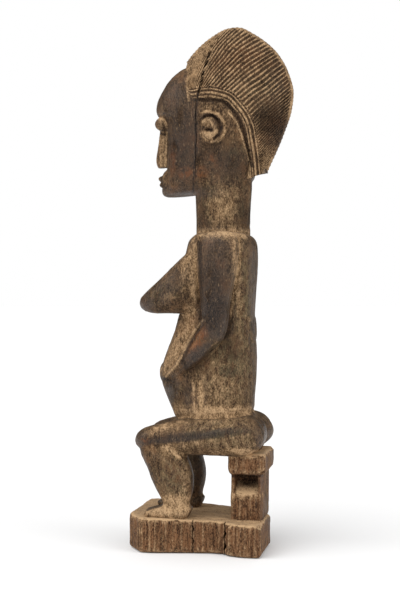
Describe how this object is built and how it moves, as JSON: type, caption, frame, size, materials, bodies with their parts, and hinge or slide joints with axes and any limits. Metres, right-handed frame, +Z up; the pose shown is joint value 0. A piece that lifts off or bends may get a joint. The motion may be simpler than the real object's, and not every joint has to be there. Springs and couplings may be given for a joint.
{
  "type": "carved wooden seated figure",
  "caption": "Seated female fertility figure with a tall grooved hair crest, on a small stool and a plinth, all carved from one block of dark wood.",
  "frame": {"origin": "centre of the plinth's length and nominal width, on its underside", "axes": "+Z up, the figure faces -Y, its left side is +X"},
  "size_m": [0.0908, 0.13, 0.4188],
  "materials": {
    "dark_wood": "worn dark patina with dusty recesses"
  },
  "bodies": {
    "root": {"seated_figure": "dark_wood"}
  },
  "joints": []
}
